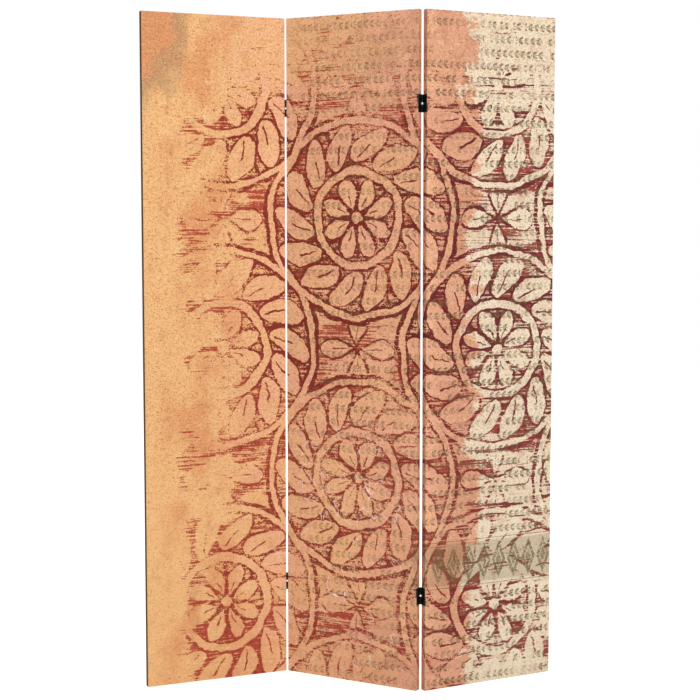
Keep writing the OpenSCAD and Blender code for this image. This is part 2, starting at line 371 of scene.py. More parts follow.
# %% [markdown]
# ## Cloth drawn over a frame
# Canvas is stretched over the face, folded round the four edges and turned onto the back. A flat box
# would do from far off, but the eye reads cloth by its soft edges and by the slight hollow between the
# rails. So the sheet is a grid laid over the outside of a board, its edges are rounded by pushing each
# point out from a smaller box inside, and the face is let in a little between the frame's members. Every
# point also keeps where it lay on the flat cloth, so that the print runs on round the edges as the real
# one does. Solidify then gives the sheet the thickness of canvas.
# %% Grid over a board
from itertools import pairwise

TINY = 1e-6
CORNER_ANGLES = (45, 30, 15, 0)


def steps(length, radius, pitch, stop):
    """Positions along one side of a board: close at its rounded edges, and even between stops."""
    corner = [radius * (1 - math.tan(math.radians(angle))) for angle in CORNER_ANGLES]
    stops = [corner[-1], stop, length - stop, length - corner[-1]]
    places = set(corner) | {length - place for place in corner}
    for low, high in pairwise(stops):
        places |= set(np.linspace(low, high, 1 + max(1, round((high - low) / pitch))))
    ordered = sorted(places) + [math.inf]
    return [place for place, following in pairwise(ordered) if following - place > TINY]


def board_cells(xs, ys, zs, turned):
    """Four corners of each cell on a board's face, its four edges, and a border on its back."""
    width, depth, height = xs[-1], ys[-1], zs[-1]
    for x, nx in pairwise(xs):
        for z, nz in pairwise(zs):
            yield (x, 0, z), (nx, 0, z), (nx, 0, nz), (x, 0, nz)
            edge = min(x, width - nx, z, height - nz)
            if edge < turned - TINY:
                yield (x, depth, z), (x, depth, nz), (nx, depth, nz), (nx, depth, z)
    for y, ny in pairwise(ys):
        for z, nz in pairwise(zs):
            yield (0, y, z), (0, y, nz), (0, ny, nz), (0, ny, z)
            yield (width, y, z), (width, ny, z), (width, ny, nz), (width, y, nz)
        for x, nx in pairwise(xs):
            yield (x, y, 0), (x, ny, 0), (nx, ny, 0), (nx, y, 0)
            yield (x, y, height), (nx, y, height), (nx, ny, height), (x, ny, height)


def flat_place(point, size):
    """Where a point of the wrapped sheet lay on the flat cloth, and how far past the fold it is."""
    x, y, z = point
    width, depth, height = size
    past = np.array([-x, x - width, -z, z - height])
    nearest = int(past.argmax())
    beyond = y if y < depth - TINY else depth + abs(past[nearest])
    if past[nearest] < -TINY and y < TINY:
        return x, z, past[nearest]
    across = (-beyond, width + beyond, x, x)[nearest]
    up = (z, z, -beyond, height + beyond)[nearest]
    return across, up, beyond


print("a board's side of 400 mm has", len(steps(0.4, 0.0015, 0.02, 0.016)), "grid lines")

# %% Rounded sheet
def wrapped_sheet(size, radius, turned, pitch):
    """Points, cells and flat places of cloth drawn over a board and turned onto its back."""
    width, depth, height = size
    xs, zs = steps(width, radius, pitch, turned), steps(height, radius, pitch, turned)
    ys = steps(depth, radius, depth, depth / 2)
    points, cells, places = {}, [], []
    for cell in board_cells(xs, ys, zs, turned):
        for point in cell:
            if point not in points:
                points[point] = len(points)
                places.append(flat_place(point, size))
        cells.append([points[point] for point in cell])
    outer = np.array(list(points))
    inner = np.clip(outer, radius, np.array(size) - radius)
    out = outer - inner
    rounded = inner + radius * out / np.linalg.norm(out, axis=1)[:, None]
    return rounded, cells, np.array(places)


def add_mesh(name, points, cells, places):
    """A mesh object, with the flat places as an attribute that its finish can read."""
    mesh = bpy.data.meshes.new(name)
    mesh.from_pydata([tuple(p) for p in points], [], cells)
    cloth = mesh.attributes.new("cloth", "FLOAT_VECTOR", "POINT")
    cloth.data.foreach_set("vector", np.ascontiguousarray(places, np.float32).ravel())
    mesh.polygons.foreach_set("use_smooth", [True] * len(mesh.polygons))
    mesh.update()
    return add_object(name, mesh)


print("sheets are built by wrapped_sheet and add_mesh")

# %% [markdown]
# ## The print, first layer: the ground
# The cloth is printed like an old collage: a warm ground that runs from gold on the left through salmon
# in the middle to cream on the right, with a ragged edge where the cream begins, all of it mottled and
# grainy. Ink on coarse cloth never lies evenly, so slow noises tint large areas, some of them pink, and
# fine ones give the grain. In the top left corner a wash of orange ends in a grey tide mark. Masks are
# laid out in metres: u runs across the whole print, with the joints at 0.4 and 0.8, and v runs up.
# %% Noises of the print
PANEL_W = panels[0].width
PRINT_W = PANEL_W * len(panels)
PRINT_H = panels[0].height

# Waves in a metre across, and up, then the seed, the layers of detail, and the roughness.
NOISES = {
    "slow": (5, 5, 1, 3, 0.5),
    "patches": (26, 26, 3, 4, 0.6),
    "crumbs": (120, 150, 32, 3, 0.65),
    "blush": (10, 5, 33, 3, 0.5),
    "pink": (4.5, 5.5, 34, 3, 0.5),
    "tide": (9, 9, 4, 5, 0.65),
    "ripples": (30, 160, 5, 3, 0.5),
    "grain": (230, 230, 2, 2, 0.75),
    "mottle": (95, 120, 15, 3, 0.65),
    "wash grit": (260, 260, 16, 2, 0.6),
    "wash shape": (13, 9, 28, 2, 0.5),
    "sprig wear": (6, 9, 6, 4, 0.6),
    "sprig rub": (190, 190, 7, 2, 0.5),
    "band rub": (130, 150, 18, 3, 0.65),
    "band end": (20, 20, 19, 3, 0.5),
    "pinholes": (230, 260, 8, 2, 0.6),
    "specks": (62, 98, 9, 3, 0.65),
    "strokes": (8, 150, 10, 3, 0.6),
    "sweeps": (2.5, 20, 11, 2, 0.5),
    "press": (3.2, 3.6, 12, 2, 0.5),
    "hairs": (8, 190, 12, 4, 0.6),
    "groups": (5, 9, 13, 2, 0.5),
    "breaks": (70, 90, 14, 3, 0.7),
    "scratched": (12, 14, 26, 2, 0.5),
    "wander across": (11, 11, 20, 3, 0.5),
    "wander up": (11, 11, 22, 3, 0.5),
    "shake": (70, 70, 21, 2, 0.5),
    "stain": (120, 150, 27, 3, 0.6),
    "glaze": (9, 9, 29, 3, 0.5),
    "edge rub and highlight": (40, 40, 23, 3, 0.5),
    "primer": (160, 160, 24, 3, 0.5),
}


def cloth_noise(u, v, name):
    """One of the print's noises."""
    across, up, seed, detail, roughness = NOISES[name]
    return noise(u * across, v * up, seed, detail, roughness)


print("the print is", round(PRINT_W, 3), "by", round(PRINT_H, 3), "m, with", len(NOISES), "noises")

# %% Ground of the print
def ground_colour(u, v):
    """The printed ground, lifted paler by painted light on the middle panel, and its noises and masks that
    other layers follow.
    """
    slow, patches = cloth_noise(u, v, "slow"), cloth_noise(u, v, "patches")
    blush = smooth(cloth_noise(u, v, "blush"), 0.45, 0.65)
    blush = blush * smooth(u, 0.01, 0.1) * (1 - smooth(u, 0.2, 0.4))
    middle = smooth(u, 0.36, 0.46) * (1 - smooth(u, 0.78, 0.86))
    # Painted light: the ground over the middle panel, which faces away from the front lamp, is lifted
    # paler.
    middle_painted_light = middle * (1 - smooth(v + slow * 0.2, 1.4, 1.6)) * smooth(v, -0.1, 0.6)
    pink = spread(cloth_noise(u, v, "pink"))
    ragged = (cloth_noise(u, v, "tide") - 0.5) * 0.34 + (cloth_noise(u, v, "ripples") - 0.5) * 0.07
    cream = smooth(u + ragged + (cloth_noise(u, v, "crumbs") - 0.5) * 0.09, 0.93, 0.955)
    colour = coats(
        rgb(244, 191, 131),
        (smooth(u + slow * 0.3, 0.15, 0.85), rgb(232, 176, 129)),
        (blush * 0.7, rgb(224, 148, 98)),
        (smooth(u + slow * 0.2, 0.6, 0.95), rgb(210, 152, 122)),
        # painted light on the middle panel
        (middle_painted_light * 0.6, rgb(252, 194, 150)),
        (middle * pink * 0.5, rgb(238, 172, 144)),
        (cream, rgb(229, 213, 186)),
        (smooth(patches, 0.5, 0.78) * 0.6, rgb(208, 138, 100)),
        (smooth(patches, 0.48, 0.25) * 0.45, rgb(250, 212, 160)),
    )
    return colour, pink, patches, cream


def grained(colour, u, v):
    """The colour with the mottle and the grain of coarse, thinly printed cloth."""
    grain, mottle = cloth_noise(u, v, "grain"), cloth_noise(u, v, "mottle")
    coarse = 0.6 + 0.5 * smooth(v, 0.35, 0.8)
    return coats(
        colour,
        (smooth(mottle, 0.5, 0.74) * coarse * 0.62, rgb(186, 118, 80)),
        (smooth(mottle, 0.46, 0.24) * 0.4, rgb(255, 214, 160)),
        (smooth(grain, 0.44, 0.2) * 0.7, rgb(255, 224, 172)),
        (smooth(grain, 0.5, 0.76) * coarse * 0.95, rgb(160, 96, 62)),
    )


def corner_wash(colour, u, v, patches):
    """A thin wash of orange at the top left corner, with a grey tide mark where it dried."""
    grit = spread(cloth_noise(u, v, "wash grit"))
    edge = (cloth_noise(u, v, "wash shape") - 0.5) * 2.6 + (patches - 0.5) * 0.9 + (grit - 0.5) * 0.5
    reach = (u / 0.088) ** 2 + ((PRINT_H - v) / 0.19) ** 2 + edge
    mark = smooth(reach, 0.7, 1.2) * (1 - smooth(reach, 1.3, 2.2))
    return coats(
        colour,
        ((1 - smooth(reach, 0.5, 1.5)) * 0.75, rgb(214, 136, 92)),
        (mark * (0.25 + 0.4 * grit), rgb(128, 98, 82)),
    )


print("the ground: gold, salmon, pink and cream")

# %% [markdown]
# ## Second layer: rows of small sprigs
# Under the ornament run faint olive rows of small slanted leaves, block printed and half worn away. A
# leaf is the overlap of two bent edges, so its mask needs only how far a point is from the leaf's own
# middle, across and up. Each row is shifted by part of a leaf, and a patchy noise wears them off.
# %% Sprig rows
ROW_PITCH = 0.0365
SPRIG_PITCH = 0.019


def sprig_rows(u, v, patches):
    """A mask of faint rows of leaves, in pairs on a level stem."""
    row = v / ROW_PITCH
    shift = row.math("FLOOR") * 0.37
    up = abs(row.math("FRACT") - 0.5)
    along = abs((u / SPRIG_PITCH + shift - up * 1.5).math("FRACT") - 0.5)
    blade = ((up / 0.31).math("MINIMUM", 1.0) * math.pi).math("SINE")
    leaf = smooth(blade * 0.38 - along, 0.0, 0.11)
    stem = smooth(0.05 - up, 0.0, 0.03) * 0.7
    spaces = smooth(noise(u * 34, row.math("FLOOR") * 3.3, 17, 1), 0.40, 0.46)
    worn_off = smooth(cloth_noise(u, v, "sprig wear"), 0.3, 0.55)
    rubbed = 0.35 + 0.65 * smooth(cloth_noise(u, v, "sprig rub"), 0.36, 0.56)
    region = smooth(u + (patches - 0.5) * 0.3, 0.36, 0.5)
    return either(leaf, stem) * spaces * worn_off * rubbed * region


print("rows of sprigs every", ROW_PITCH * 1000, "mm")

# %% Band of lozenges
BAND_MIDDLE = 0.335
BAND_HALF = 0.052
LOZENGE_PITCH = 0.048


def lozenge_band(u, v):
    """A mask of one broad, rubbed band of olive lozenges on the right, and of the room it takes."""
    up = abs((v - BAND_MIDDLE) / BAND_HALF)
    along = abs((u / LOZENGE_PITCH).math("FRACT") - 0.5) * 2
    inside = 0.94 - along - up * 0.9
    lozenge = smooth(inside, 0.0, 0.06) * (1 - smooth(inside, 0.4, 0.44)) + smooth(inside, 0.52, 0.58)
    rules = smooth(0.035 - abs(up - 1.2), 0.0, 0.03)
    shade = (1 - smooth(up, 1.0, 1.15)) * 0.4
    rubbed = smooth(cloth_noise(u, v, "band rub"), 0.32, 0.5)
    region = smooth(u + (cloth_noise(u, v, "band end") - 0.5) * 0.12, 0.74, 0.84)
    return either(either(lozenge, rules) * rubbed, shade) * region, (1 - smooth(up, 1.2, 1.5)) * region


print("the band of lozenges is", round(2000 * BAND_HALF), "mm high")

# %% [markdown]
# ## Third layer: the ornament
# The maroon ornament is a staggered field of wreathed rosettes with a small four-leaved flower in each
# gap, all common block printer's motifs. They could be drawn one by one, but folding the plane does it
# with one drawing: the distance to the nearest centre of a staggered grid turns every point into a place
# in one rosette. There, leaves are equal slices of a circle whose width swells and narrows with the
# radius. Pale leaves stand in ink, so the mask is high where ink lies.
# %% Leaves in a ring
ROSETTE_PITCH = (0.80, 0.70)
ROSETTE_CENTRE = (0.62, 0.56)


def fold_to_centres(u, v, centre):
    """How far across and up from the nearest centre of the staggered grid a point lies."""
    def offset(value, start, pitch):
        turns = (value - start) / pitch
        return (turns - turns.math("ROUND")) * pitch
    even = [offset(p, c, pitch) for p, c, pitch in zip((u, v), centre, ROSETTE_PITCH)]
    odd = [offset(p, c + pitch / 2, pitch) for p, c, pitch in zip((u, v), centre, ROSETTE_PITCH)]
    even_far = even[0] * even[0] + even[1] * even[1]
    odd_far = odd[0] * odd[0] + odd[1] * odd[1]
    nearer = odd_far.math("LESS_THAN", even_far)
    x, y = [a + nearer * (b - a) for a, b in zip(even, odd)]
    return even_far.math("MINIMUM", odd_far).math("SQRT"), y.math("ARCTAN2", x) / math.tau


def leaf_ring(radius, turn, inner, outer, count, slant=0.0, fullness=0.84):
    """How far inside a leaf's edge a point lies, in metres, and how far aside of its midrib."""
    share = ((radius - inner) / (outer - inner)).math("MAXIMUM", 0.0).math("MINIMUM", 1.0)
    slice_place = (turn * count + share * slant).math("FRACT")
    aside = abs(slice_place - 0.5) * 2
    width = (share ** 0.8 * math.pi).math("SINE").math("MAXIMUM", 0.0) ** 0.55 * fullness
    return (width - aside) * radius * (math.pi / count), aside, share


def ring_band(radius, inner, outer, soft=0.003):
    """A mask of the ring between two radii."""
    return smooth(radius, inner, inner + soft) * (1 - smooth(radius, outer - soft, outer))


print("rosettes every", ROSETTE_PITCH, "m, staggered")

# %% Rosettes and flowers
EDGE_SOFT = 0.006
ROSETTE_R = 0.272


def rosette_pale(radius, turn):
    """Pale parts of one wreathed rosette, a flower, two rings and a wreath, and what is near them."""
    petal, petal_aside, _ = leaf_ring(radius, turn, 0.022, 0.110, 8, 0.0, 0.9)
    leaf, leaf_aside, leaf_share = leaf_ring(radius, turn, 0.142, 0.250, 14, 0.7, 0.92)
    midrib = (1 - smooth(leaf_aside, 0.04, 0.10)) * ring_band(leaf_share, 0.05, 0.62, 0.1)
    heart = (1 - smooth(petal_aside, 0.06, 0.14)) * ring_band(radius, 0.030, 0.07, 0.008)
    petals = smooth(petal, 0.0, EDGE_SOFT) * (1 - heart)
    leaves = smooth(leaf, 0.0, EDGE_SOFT) * (1 - midrib)
    rings = either(ring_band(radius, 0.114, 0.137), ring_band(radius, 0.254, ROSETTE_R))
    near_leaves = either(smooth(leaf, -0.008, -0.003), smooth(petal, -0.008, -0.003))
    near_rings = either(ring_band(radius, 0.107, 0.144), smooth(radius, 0.244, 0.25))
    button = 1 - smooth(radius, 0.012, 0.017)
    return either(petals, leaves, rings, button), either(near_leaves, near_rings)


def flower_lines(radius, turn):
    """Ink outlines of the four-leaved flower that fills each gap of the field."""
    leaf, aside, share = leaf_ring(radius, turn + 0.125, 0.012, 0.112, 4, 0.0, 0.52)
    outline = smooth(leaf, -0.011, -0.003) * (1 - smooth(leaf, 0.0, EDGE_SOFT))
    midrib = (1 - smooth(aside, 0.02, 0.05)) * ring_band(share, 0.1, 0.7, 0.1)
    return either(outline, midrib), smooth(leaf, -0.003, 0.002)


def ornament(u, v):
    """How much ink the block would carry at a point of the print, and where it leaves pale shapes."""
    radius, turn = fold_to_centres(u, v, ROSETTE_CENTRE)
    gap = (ROSETTE_CENTRE[0] + ROSETTE_PITCH[0] / 2, ROSETTE_CENTRE[1])
    flower_radius, flower_turn = fold_to_centres(u, v, gap)
    lines, inside = flower_lines(flower_radius, flower_turn)
    outside = smooth(radius, ROSETTE_R + 0.008, ROSETTE_R + 0.016)
    rim = ring_band(radius, ROSETTE_R - 0.003, ROSETTE_R + 0.012)
    field = either(lines * 0.95, (1 - inside) * (0.40 - 0.14 * smooth(radius, 0.3, 0.38)))
    pale, near = rosette_pale(radius, turn)
    pale = pale * (1 - outside)
    ink = either((1 - outside - pale) * (0.66 + 0.34 * near), rim, outside * field)
    return ink, either(pale, inside * outside * (1 - lines))


print("a rosette is", 2 * ROSETTE_R, "m across")

# %% [markdown]
# ## Fourth layer: wear
# An old block print is never whole. The ink misses the valleys of the cloth, skips in dry horizontal
# strokes, and fades out towards the left and the top. Wear is a threshold: ink shows where the block's
# mask is stronger than a random grit, and where it is much stronger the ink lies thick and dark. Fine
# grit gives pinholes, and grit stretched along the cloth gives dry brush strokes, which take over on the
# right and at the foot of the first panel. Pale scratches are the level lines of a slow noise.
# %% Worn ink
def worn(ink, u, v, pinholes):
    """The ink that is left on the cloth, and how thickly it lies."""
    fine = spread(pinholes)
    names = ("specks", "strokes", "sweeps", "press")
    specks, strokes, sweeps, press = [spread(cloth_noise(u, v, name)) for name in names]
    dry = smooth(u, 0.74, 0.98)
    damp_grit = fine * 0.36 + specks * 0.32 + strokes * 0.32
    dry_grit = fine * 0.18 + strokes * 0.6 + sweeps * 0.22
    grit = damp_grit + dry * (dry_grit - damp_grit)
    ragged = (strokes - 0.5) * 0.1 + (sweeps - 0.5) * 0.06
    foot = (1 - smooth(v, 0.1, 0.4)) * 0.1
    left = smooth(u + ragged + foot, 0.08, 0.36)
    upper = smooth(v + ragged, 0.5, 0.95)
    top = 1 - smooth(v + ragged * 0.6, 1.48, 1.7)
    bottom = either(smooth(v + ragged * 0.6, -0.05, 0.22), 1 - smooth(u, 0.35, 0.5))
    strength = (0.59 + 0.28 * press - 0.01 * dry) * (0.63 + 0.37 * left)
    strength = strength * smooth(u + ragged + foot, 0.05, 0.28) * (0.85 + 0.15 * upper)
    strength = strength * (0.36 + 0.64 * top) * (0.6 + 0.4 * bottom)
    margin = ink * strength - grit
    depth = (0.8 + 0.2 * smooth(u, 0.3, 0.6)) * (0.7 + 0.3 * upper)
    return smooth(margin, -0.01, 0.05), smooth(margin + press * 0.1, 0.04, 0.3) * depth


def loose_strokes(u, v, pinholes):
    """Clusters of short dry strokes of ink that lie outside the ornament."""
    hairs = cloth_noise(u, v, "hairs")
    foot = smooth(u, 0.06, 0.17) * (1 - smooth(u, 0.34, 0.44)) * (1 - smooth(v, 0.14, 0.32))
    groups = either(smooth(cloth_noise(u, v, "groups"), 0.46, 0.57), foot * 0.9)
    breaks = cloth_noise(u, v, "breaks")
    top = smooth(v, 1.5, 1.66) * (1 - 0.8 * smooth(u, 0.1, 0.4) * (1 - smooth(u, 0.75, 0.9)))
    region = smooth(u, 0.03, 0.13) * (1 - top) * (0.92 + 0.12 * smooth(u, 0.7, 0.9))
    strength = hairs * 0.6 + groups * region * 0.22 + breaks * 0.25 + foot * 0.05 + pinholes * 0.2
    return smooth(strength, 0.716, 0.734)


def scratches(u, v):
    """Fine pale scratches through the ink, low on the middle of the print."""
    crackle = abs(noise(u * 12 + v * 6, v * 8 - u * 7, 25, 2, 0.45) - 0.5)
    places = smooth(cloth_noise(u, v, "scratched"), 0.46, 0.54)
    region = smooth(u, 0.3, 0.45) * (1 - smooth(u, 0.72, 0.82)) * (1 - smooth(v, 0.55, 0.8))
    return (1 - smooth(crackle, 0.0015, 0.005)) * places * region


print("wear: grit, dry strokes, fading and scratches")

# %% [markdown]
# ## The printed canvas
# The layers go on one another in the order in which a printer would lay them, and the hand that cut the
# block shakes a little, so the ornament's place is moved by two noises first. Past a fold the print is
# darkened a little towards brown, which is painted shade on the turned edges, and the outer edge of the
# first panel is printed dark brown. Along each fold the cloth is paler in patches, partly rubbed and
# partly a painted highlight on the rounded edge, and a thin dark line near the right end is the painted
# shade of a crease. The weave is real relief: two crossed sets of threads about a millimetre apart,
# under a slower unevenness of the primer. The ink fills the weave a little, so it is smoother.
# %% Canvas finish
THREAD_PITCH = 0.0011


def weave_height(u, v):
    """The relief of plain weave, from 0 to 1: threads pass over and under by turns."""
    over = (u * (math.pi / THREAD_PITCH)).math("SINE")
    under = (v * (math.pi / THREAD_PITCH)).math("SINE")
    return abs(over) * 0.5 + abs(under) * 0.5


def printed_canvas(name):
    """The finish of printed artist's canvas, laid out by the cloth's own flat places."""
    finish = Finish(name, Specular_IOR_Level=0.16)
    u, v, past = parts(finish.node("ShaderNodeAttribute", {"attribute_name": "cloth"}, {}, "Vector"))
    colour, pink, patches, cream = ground_colour(u, v)
    shake = (cloth_noise(u, v, "shake") - 0.5) * 0.009
    hand_u = u + (cloth_noise(u, v, "wander across") - 0.5) * 0.035 + shake
    hand_v = v + (cloth_noise(u, v, "wander up") - 0.5) * 0.035 + shake
    block_ink, block_pale = ornament(hand_u, hand_v)
    right = smooth(u, 0.76, 0.86)
    stain = spread(cloth_noise(u, v, "stain"))
    glaze = block_pale * smooth(u, 0.15, 0.4) * (0.3 + 0.7 * spread(cloth_noise(u, v, "glaze")))
    glaze_colour = coats(
        rgb(250, 194, 142),
        (pink, rgb(246, 182, 152)),
        (right, rgb(228, 170, 138)),
        (cream, rgb(240, 225, 197)),
    )
    colour = corner_wash(colour, u, v, patches)
    colour = grained(paint(glaze * (0.6 + 0.3 * stain), colour, glaze_colour), u, v)
    pinholes = cloth_noise(u, v, "pinholes")
    print_ink, thickness = worn(block_ink, u, v, pinholes)
    ink = either(print_ink, loose_strokes(u, v, pinholes) * (1 - block_pale * 0.9))
    thin_ink = paint(smooth(u, 0.74, 0.9), rgb(174, 70, 52), rgb(146, 52, 48))
    thick_ink = paint(smooth(u, 0.5, 0.9), rgb(102, 16, 18), rgb(84, 12, 24))
    band, band_room = lozenge_band(u, v)
    # Painted shade: a thin dark line 11 mm in from the right end of the print, on its lower part, where
    # the cloth is creased.
    crease_shade = (1 - smooth(abs(u - PRINT_W + 0.011), 0.0004, 0.0011)) * (1 - smooth(v, 0.5, 0.7))
    # Paler patches along each fold: partly rubbed cloth, partly a painted highlight on the rounded edge.
    rubbed = (1 - smooth(abs(past), 0.0006, 0.002)) * smooth(cloth_noise(u, v, "edge rub and highlight"), 0.5, 0.7)
    colour = coats(
        colour,
        (ink * 0.97, paint(thickness * (0.75 + 0.25 * stain), thin_ink, thick_ink)),
        (sprig_rows(u, v, patches) * (1 - band_room) * (0.6 + 0.3 * right), rgb(112, 90, 60)),
        (band * 0.84, rgb(110, 96, 62)),
        (scratches(u, v) * 0.8, rgb(255, 238, 232)),
        # painted shade of the crease
        (crease_shade * 0.3, rgb(120, 92, 70)),
        # Painted shade: the print past each fold, on the edges and the back, is darkened a little towards
        # brown.
        (smooth(past, 0.0005, 0.002) * 0.14, rgb(60, 40, 26)),
        (smooth(0 - u, 0.0008, 0.0016), rgb(98, 66, 38)),
        # rubbed cloth and painted highlight along the folds
        (rubbed * 0.35, rgb(236, 212, 180)),
    )
    relief = bumped(weave_height(u, v), 0.00022, 0.55)
    relief = bumped(cloth_noise(u, v, "primer"), 0.0006, 0.5, relief)
    return finish.surface(Base_Color=colour, Roughness=0.93 - ink * 0.14, Normal=relief)


front_print = printed_canvas("front_print")
back_print = printed_canvas("back_print")
print("the print has", len(front_print.node_tree.nodes), "nodes")

# %% [markdown]
# ## Front canvases
# The face is held flat where it lies on the stiles and rails and is let in by about a millimetre in
# the three bays between them. Near the edges it is drawn into very shallow scallops by the staples
# behind. At the top and bottom of each side edge the spare cloth is folded into a flat corner.
# %% Let the face in
RAILS = ("bottom_rail", "lower_cross_rail", "upper_cross_rail", "top_rail")
CANVAS_T = 0.00045
BAY_HOLLOW = 0.0011
SCALLOP = 0.00012
SCALLOP_REACH = 0.03


def bays(panel):
    """The open rectangles of a panel's frame, as ranges across and up."""
    left = panel.own(f"{panel.side}_panel_left_stile")[:, 0].max()
    right = panel.own(f"{panel.side}_panel_right_stile")[:, 0].min()
    rails = [panel.own(f"{panel.side}_panel_{rail}")[:, 2] for rail in RAILS]
    return [((left, right), (low.max(), high.min())) for low, high in pairwise(rails)]


def hollow(points, openings, pitch):
    """How far each point of the face lies behind the frame's front, in metres."""
    x, z = points[:, 0], points[:, 2]
    width = x.max()
    depth = np.zeros(len(points))
    for (left, right), (low, high) in openings:
        a = np.clip((x - left) / (right - left), 0, 1)
        b = np.clip((z - low) / (high - low), 0, 1)
        depth += BAY_HOLLOW * 4 * a * (1 - a) * np.sqrt(4 * b * (1 - b))
    from_edge = np.minimum(x, width - x)
    wave = 0.5 - 0.5 * np.cos(math.tau * z / pitch)
    return depth + SCALLOP * wave * np.exp(-from_edge / SCALLOP_REACH)


def staple_pitch(panel):
    """The distance between the staples of a side edge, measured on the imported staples."""
    longest_staple = 0.03
    own = panel.own(f"{panel.side}_panel_staples")
    side = own[own[:, 0] < panel.width / 10]
    heights = np.unique(np.round(side[:, 2], 3))
    gaps = np.diff(heights)
    return float(np.median(gaps[gaps > longest_staple]) + gaps[gaps <= longest_staple].max())


print("staples every", round(staple_pitch(panels[0]) * 1000, 1), "mm")

# %% Corner folds
FOLD_START = 0.0012
FOLD_SLOPE = 0.0004
FOOT_PRESS = 0.05


def corner_fold(x, rim, z, side, up, lift):
    """A flat triangular fold of spare cloth on a top or bottom edge, at one corner."""
    inner = rim - lift * 0.8
    flat = [(FOLD_START, FOLD_START + FOLD_SLOPE), (FOLD_START, inner), (inner, inner)]
    brink = [(FOLD_START, FOLD_SLOPE), (FOLD_SLOPE, rim), (rim, rim)]
    points = [(x + side * px, py, z + up * lift) for px, py in flat]
    points += [(x + side * px, py, z) for px, py in brink]
    cells = [[0, 1, 2], [0, 2, 5, 3], [1, 0, 3, 4], [2, 1, 4, 5]]
    return points, cells


def add_corner_folds(points, cells, places, panel):
    """Adds the four corner folds to a front canvas. The panel's weight presses the lower two flat."""
    width, depth, height = panel.width, panel.wrap, panel.height
    for x, side in ((0.0, 1), (width, -1)):
        for z, up in ((height, 1), (0.0, -1)):
            lift = CANVAS_T if up > 0 else CANVAS_T * FOOT_PRESS
            made, made_cells = corner_fold(x, depth, z, side, up, lift)
            first = len(points)
            points = np.vstack([points, made])
            places = np.vstack([places, [(p[0], z + up * p[1], p[1]) for p in made]])
            order = -1 if side * up > 0 else 1
            cells = cells + [[first + i for i in cell][::order] for cell in made_cells]
    return points, cells, places


print("a corner fold stands", CANVAS_T * 1000, "mm proud")

# %% Front canvas pieces
FRONT_RADIUS = 0.0010
CLOTH_PITCH = 0.022
CLOSE = 0.0001


def turned_width(panel):
    """How far the front canvas is turned onto the back of the frame."""
    own = panel.own(f"{panel.side}_panel_front_canvas")
    back = own[own[:, 1] > panel.wrap - CLOSE]
    inner = back[(back[:, 0] > panel.width / 100) & (back[:, 0] < panel.width / 2), 0]
    return float(inner.min())


def stand_in(piece, panel, node):
    """Puts a piece on its panel, in place of a CAD node."""
    piece.matrix_world = panel.matrix
    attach(piece, f"{panel.side}_panel")
    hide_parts(node)


def cloth_piece(name, sheet, thickness, material):
    """A sheet with the thickness and the finish of canvas."""
    piece = add_mesh(name, *sheet)
    piece.data.materials.append(material)
    solid = piece.modifiers.new("canvas", "SOLIDIFY")
    solid.thickness = thickness
    solid.offset = -1
    solid.use_even_offset = False
    return piece


def front_canvas(panel, start):
    """The cloth over one panel's front, as a piece in place of the CAD canvas."""
    turned = turned_width(panel)
    size = (panel.width, panel.wrap, panel.height)
    points, cells, places = wrapped_sheet(size, FRONT_RADIUS, turned, CLOTH_PITCH)
    face = points[:, 1] < TINY
    points[face, 1] += hollow(points[face], bays(panel), staple_pitch(panel))
    points, cells, places = add_corner_folds(points, cells, places, panel)
    places[:, 0] += start
    piece = cloth_piece(f"{panel.side}_front_cloth", (points, cells, places), CANVAS_T, front_print)
    stand_in(piece, panel, f"{panel.side}_panel_front_canvas")
    cut = [side + 2 * (panel.wrap + turned) for side in (panel.width, panel.height)]
    print(piece.name, len(piece.data.vertices), "points, cut to", [round(1000 * c) for c in cut], "mm")


for i, panel in enumerate(panels):
    front_canvas(panel, i * PANEL_W)

# %% [markdown]
# ## Back canvases
# The back is closed by a second printed canvas that stops just short of the edges, with a hem folded
# under all round. It is the same kind of sheet with its face turned to the back, and its edge is one
# tight fold. The print on it starts from the other end, so that it reads from left to right from behind.
# %% Back canvas pieces
HEM_RADIUS = 0.00048
BACK_CANVAS_T = CANVAS_T * 0.9


def back_canvas(panel, start):
    """The hemmed cloth on one panel's back."""
    own = panel.own(f"{panel.side}_panel_back_canvas")
    low, high = own.min(axis=0), own.max(axis=0)
    size = tuple(high - low)
    hem = own[own[:, 1] < low[1] + CLOSE, 0] - low[0]
    hem_width = float(hem[hem > 10 * CLOSE].min())
    points, cells, places = wrapped_sheet(size, HEM_RADIUS, hem_width, CLOTH_PITCH)
    points = np.column_stack([points[:, 0] + low[0], high[1] - points[:, 1], points[:, 2] + low[2]])
    cells = [cell[::-1] for cell in cells]
    places[:, 0] = start + panel.width - panel.inset - places[:, 0]
    places[:, 1] += low[2]
    piece = cloth_piece(f"{panel.side}_back_cloth", (points, cells, places), BACK_CANVAS_T, back_print)
    stand_in(piece, panel, f"{panel.side}_panel_back_canvas")
    cut = [side + 2 * hem_width for side in (size[0], size[2])]
    print(piece.name, len(piece.data.vertices), "points, cut to", [round(1000 * c) for c in cut], "mm")


for i, panel in enumerate(panels):
    back_canvas(panel, PRINT_W - (i + 1) * PANEL_W)

